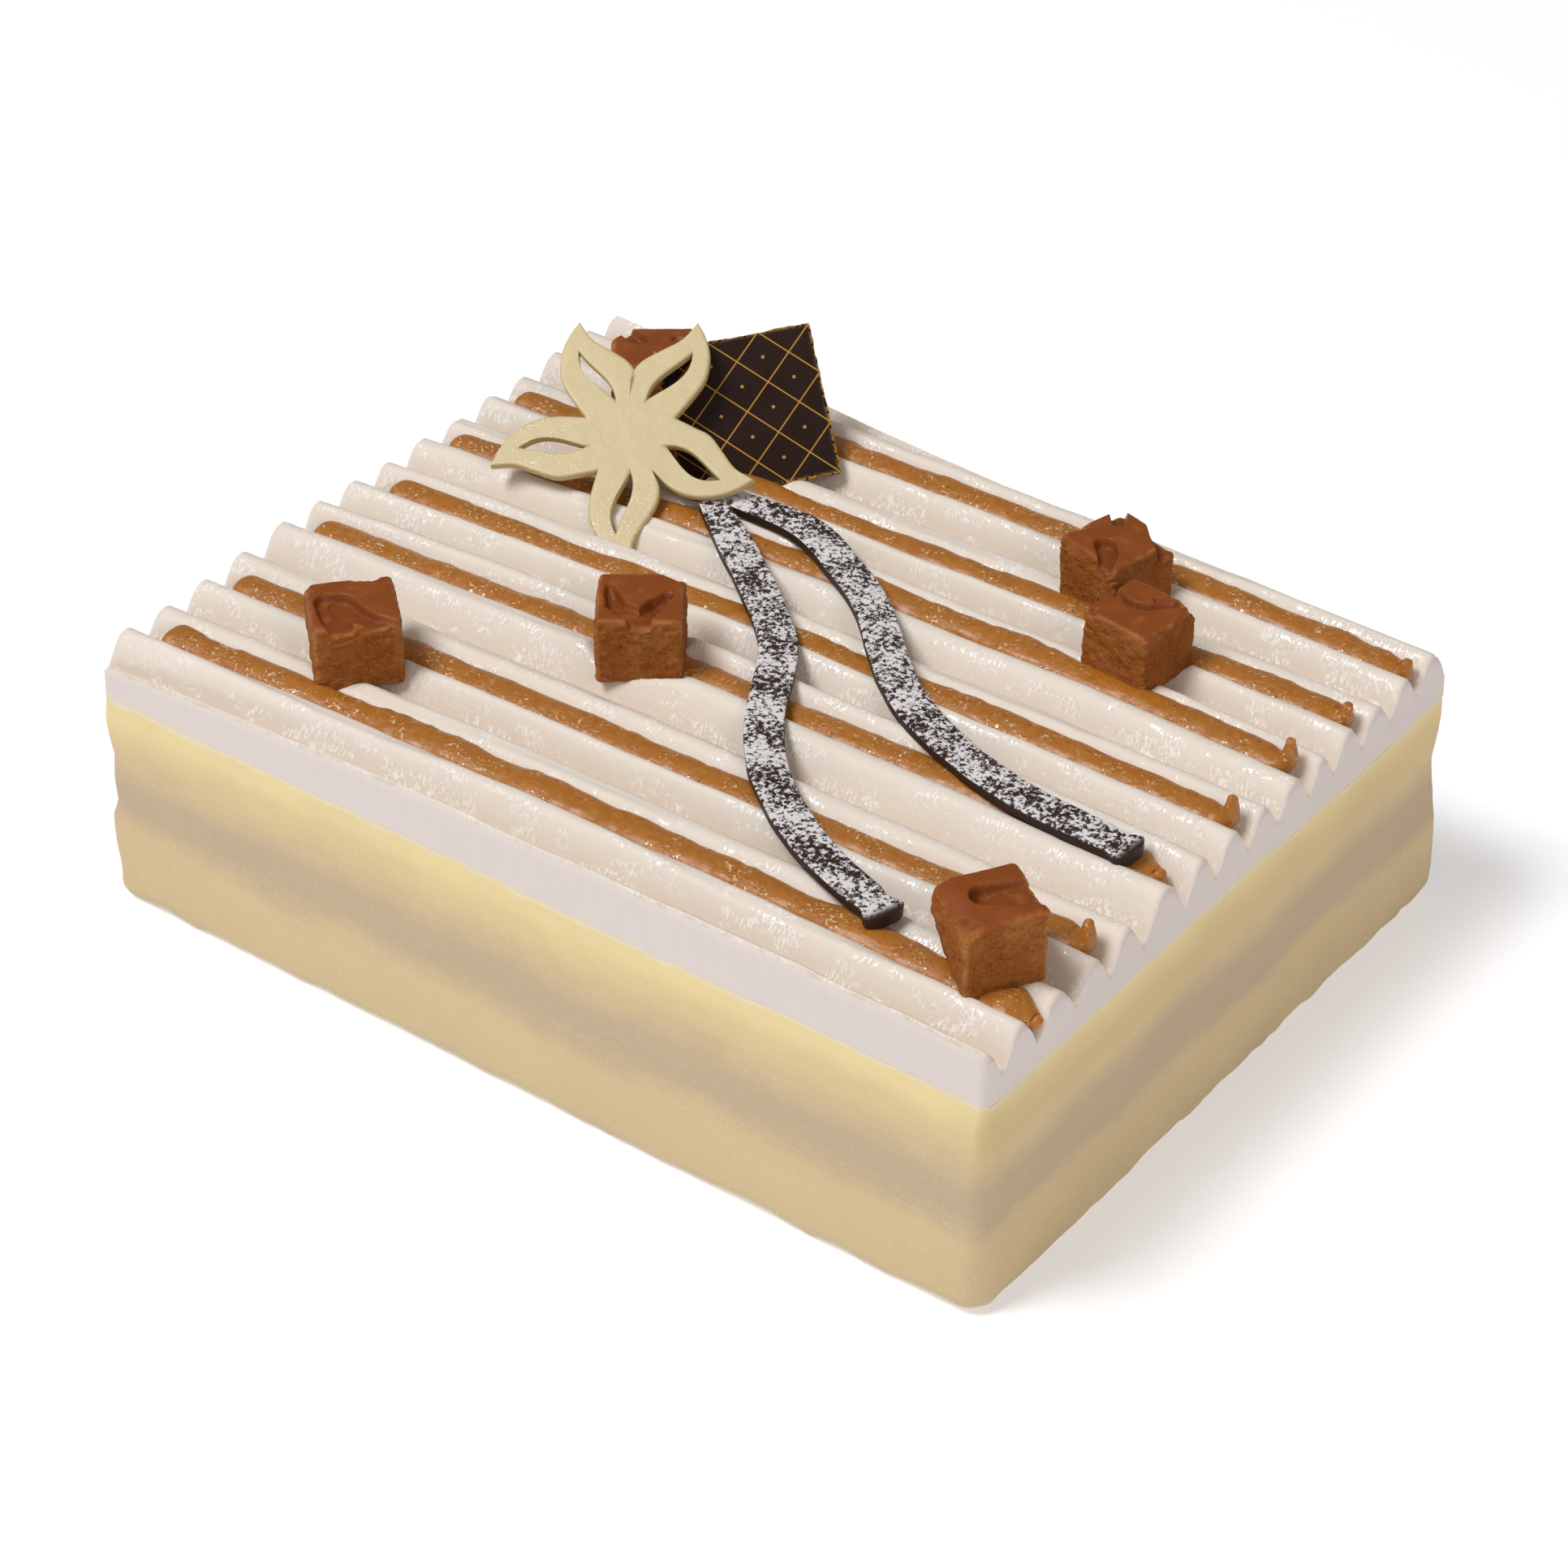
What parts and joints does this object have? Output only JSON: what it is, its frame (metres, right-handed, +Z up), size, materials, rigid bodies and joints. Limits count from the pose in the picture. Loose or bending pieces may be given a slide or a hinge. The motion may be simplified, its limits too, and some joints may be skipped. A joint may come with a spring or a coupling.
{
  "type": "cheesecake",
  "caption": "Rectangular layered cheesecake with a piped ridged cream top, caramel lines, fudge cubes and chocolate decorations, to stand on a table.",
  "frame": {"origin": "under the middle of the cake's foot, on the surface it rests on", "axes": "+X along the piped ridges, which is the long way of the cake; +Y across them, towards the back long side; +Z up"},
  "size_m": [0.2032, 0.155, 0.0806],
  "materials": {
    "vanilla_cheese": "velvety, fine grained",
    "nut_cheese": "velvety, fine grained",
    "whipped_cream": "satin with small wet glints",
    "caramel": "glossy",
    "fudge": "crumbly, with a smoother shiny top",
    "white_chocolate": "satin",
    "dark_chocolate": "satin to glossy, the pods dusted with sugar"
  },
  "bodies": {
    "root": {"base_layer": "vanilla_cheese", "middle_layer": "nut_cheese", "upper_layer": "vanilla_cheese", "cream_top": "whipped_cream", "caramel_line_1": "caramel", "caramel_line_2": "caramel", "caramel_line_3": "caramel", "caramel_line_4": "caramel", "caramel_line_5": "caramel", "caramel_line_6": "caramel", "caramel_line_7": "caramel", "fudge_cube_1": "fudge", "fudge_cube_2": "fudge", "fudge_cube_3": "fudge", "fudge_cube_4": "fudge", "fudge_cube_5": "fudge", "fudge_cube_6": "fudge", "chocolate_pod_1": "dark_chocolate", "chocolate_pod_2": "dark_chocolate", "chocolate_plaque": "dark_chocolate", "chocolate_flower": "white_chocolate"}
  },
  "joints": []
}
